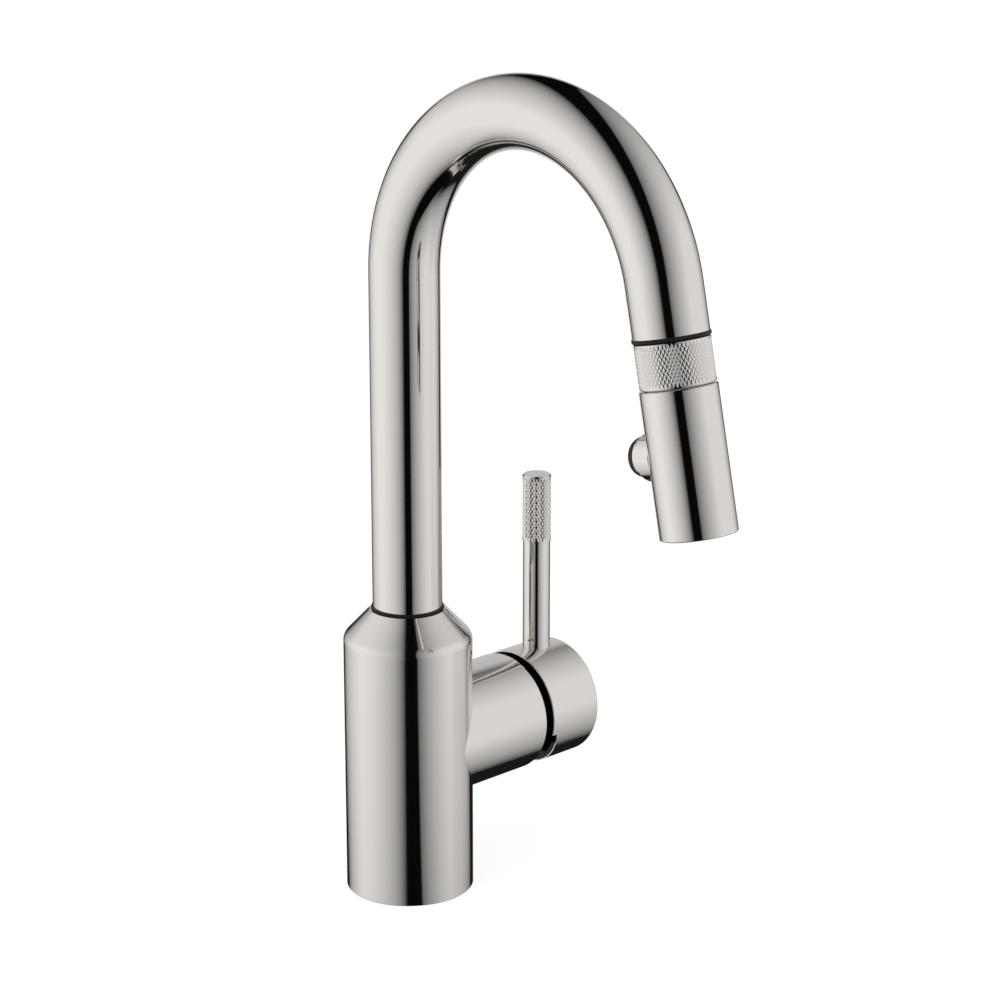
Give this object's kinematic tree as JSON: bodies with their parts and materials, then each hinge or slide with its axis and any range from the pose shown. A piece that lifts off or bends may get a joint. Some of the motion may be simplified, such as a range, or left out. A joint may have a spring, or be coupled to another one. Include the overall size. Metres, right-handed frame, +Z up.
{
  "type": "pull down kitchen faucet",
  "caption": "Gooseneck deck-mounted faucet with a pull-down spray head, a side lever mixing valve and a deck clamp below the base.",
  "frame": {"origin": "centre of the base on the deck, at the top of the shank", "axes": "+Z up, -Y the way the spout reaches, +X towards the lever handle"},
  "size_m": [0.11, 0.1883, 0.4264],
  "materials": {
    "satin_nickel": "satin nickel plate",
    "knurled_nickel": "satin nickel plate over a fine diamond knurl",
    "black_plastic": "moulded black",
    "white_plastic": "moulded natural",
    "spray_face": "moulded dark grey",
    "silicone": "soft grey silicone",
    "rubber": "black rubber",
    "ceramic": "lapped alumina",
    "brass": "machined",
    "steel": "zinc plated",
    "hose_braid": "braided nylon sleeve"
  },
  "bodies": {
    "body": {"body_casting": "satin_nickel", "base_gasket": "rubber", "mounting_shank": "brass", "stop_screw": "steel", "lower_bush": "black_plastic", "glide_ring": "black_plastic", "cartridge_seals": "rubber", "cartridge_base": "white_plastic", "fixed_disc": "ceramic", "cartridge_housing": "white_plastic", "cartridge_nut": "brass", "bonnet_ring": "black_plastic"},
    "spout": {"spout_tube": "satin_nickel", "foot_sleeve": "brass", "dock_sleeve": "black_plastic", "spray_hose": "hose_braid", "hose_coupling": "brass"},
    "hose_end": {"hose_ferrule": "brass", "hose_spindle": "brass", "spindle_o_ring": "rubber"},
    "spray_head": {"docking_collar": "black_plastic", "grip_ring": "knurled_nickel", "swivel_nut": "brass", "head_core": "white_plastic", "check_valve": "white_plastic", "head_shell": "satin_nickel", "nozzle_pad": "silicone", "nozzle_plate": "spray_face", "aerator": "white_plastic", "button_bezel": "satin_nickel", "button_spring": "steel"},
    "button": {"button_cap": "satin_nickel", "diverter_spool": "white_plastic"},
    "handle_turret": {"turret": "white_plastic", "pivot_pin": "steel"},
    "handle": {"valve_stem": "brass", "handle_cap": "satin_nickel", "lever_rod": "satin_nickel", "lever_grip": "knurled_nickel", "handle_screw": "steel"},
    "disc_slider": {"disc_carrier": "white_plastic", "moving_disc": "ceramic"},
    "deck_clamp": {"rubber_washer": "rubber", "steel_washer": "steel", "mounting_nut": "brass", "clamp_screws": "steel"}
  },
  "joints": [
    {"name": "spout_swivel", "type": "hinge", "parent": "body", "child": "spout", "pos_m": [0, 0, 0.09921], "axis": [0, 0, 1], "range_deg": [-60, 60]},
    {"name": "spray_pull", "type": "slide", "parent": "spout", "child": "hose_end", "axis": [0, -0.2079, -0.9781], "range_m": [0, 0.16], "stiffness_N_per_m": 15, "springref_m": -0.45, "deforming": ["spray_hose"]},
    {"name": "spray_spin", "type": "hinge", "parent": "hose_end", "child": "spray_head", "pos_m": [0, -0.13338, 0.24293], "axis": [0, -0.2079, -0.9781], "continuous": true},
    {"name": "button_press", "type": "slide", "parent": "spray_head", "child": "button", "axis": [0, -0.9781, 0.2079], "range_m": [0, 0.003], "stiffness_N_per_m": 800, "springref_m": -0.003, "deforming": ["button_spring"]},
    {"name": "handle_turn", "type": "hinge", "parent": "body", "child": "handle_turret", "pos_m": [0.04103, 0, 0.05826], "axis": [1, 0, 0], "range_deg": [-45, 45]},
    {"name": "handle_tilt", "type": "hinge", "parent": "handle_turret", "child": "handle", "pos_m": [0.04103, 0, 0.05826], "axis": [0, 1, 0], "range_deg": [0, 17]},
    {"name": "disc_slide", "type": "slide", "parent": "handle_turret", "child": "disc_slider", "axis": [0, 0, 1], "range_m": [0, 0.0027]},
    {"name": "deck_clamp_slide", "type": "slide", "parent": "body", "child": "deck_clamp", "axis": [0, 0, -1], "range_m": [-0.016, 0.045]}
  ],
  "couplings": [
    {"joint": "disc_slide", "follows": "handle_tilt", "m_per_rad": 0.009}
  ]
}
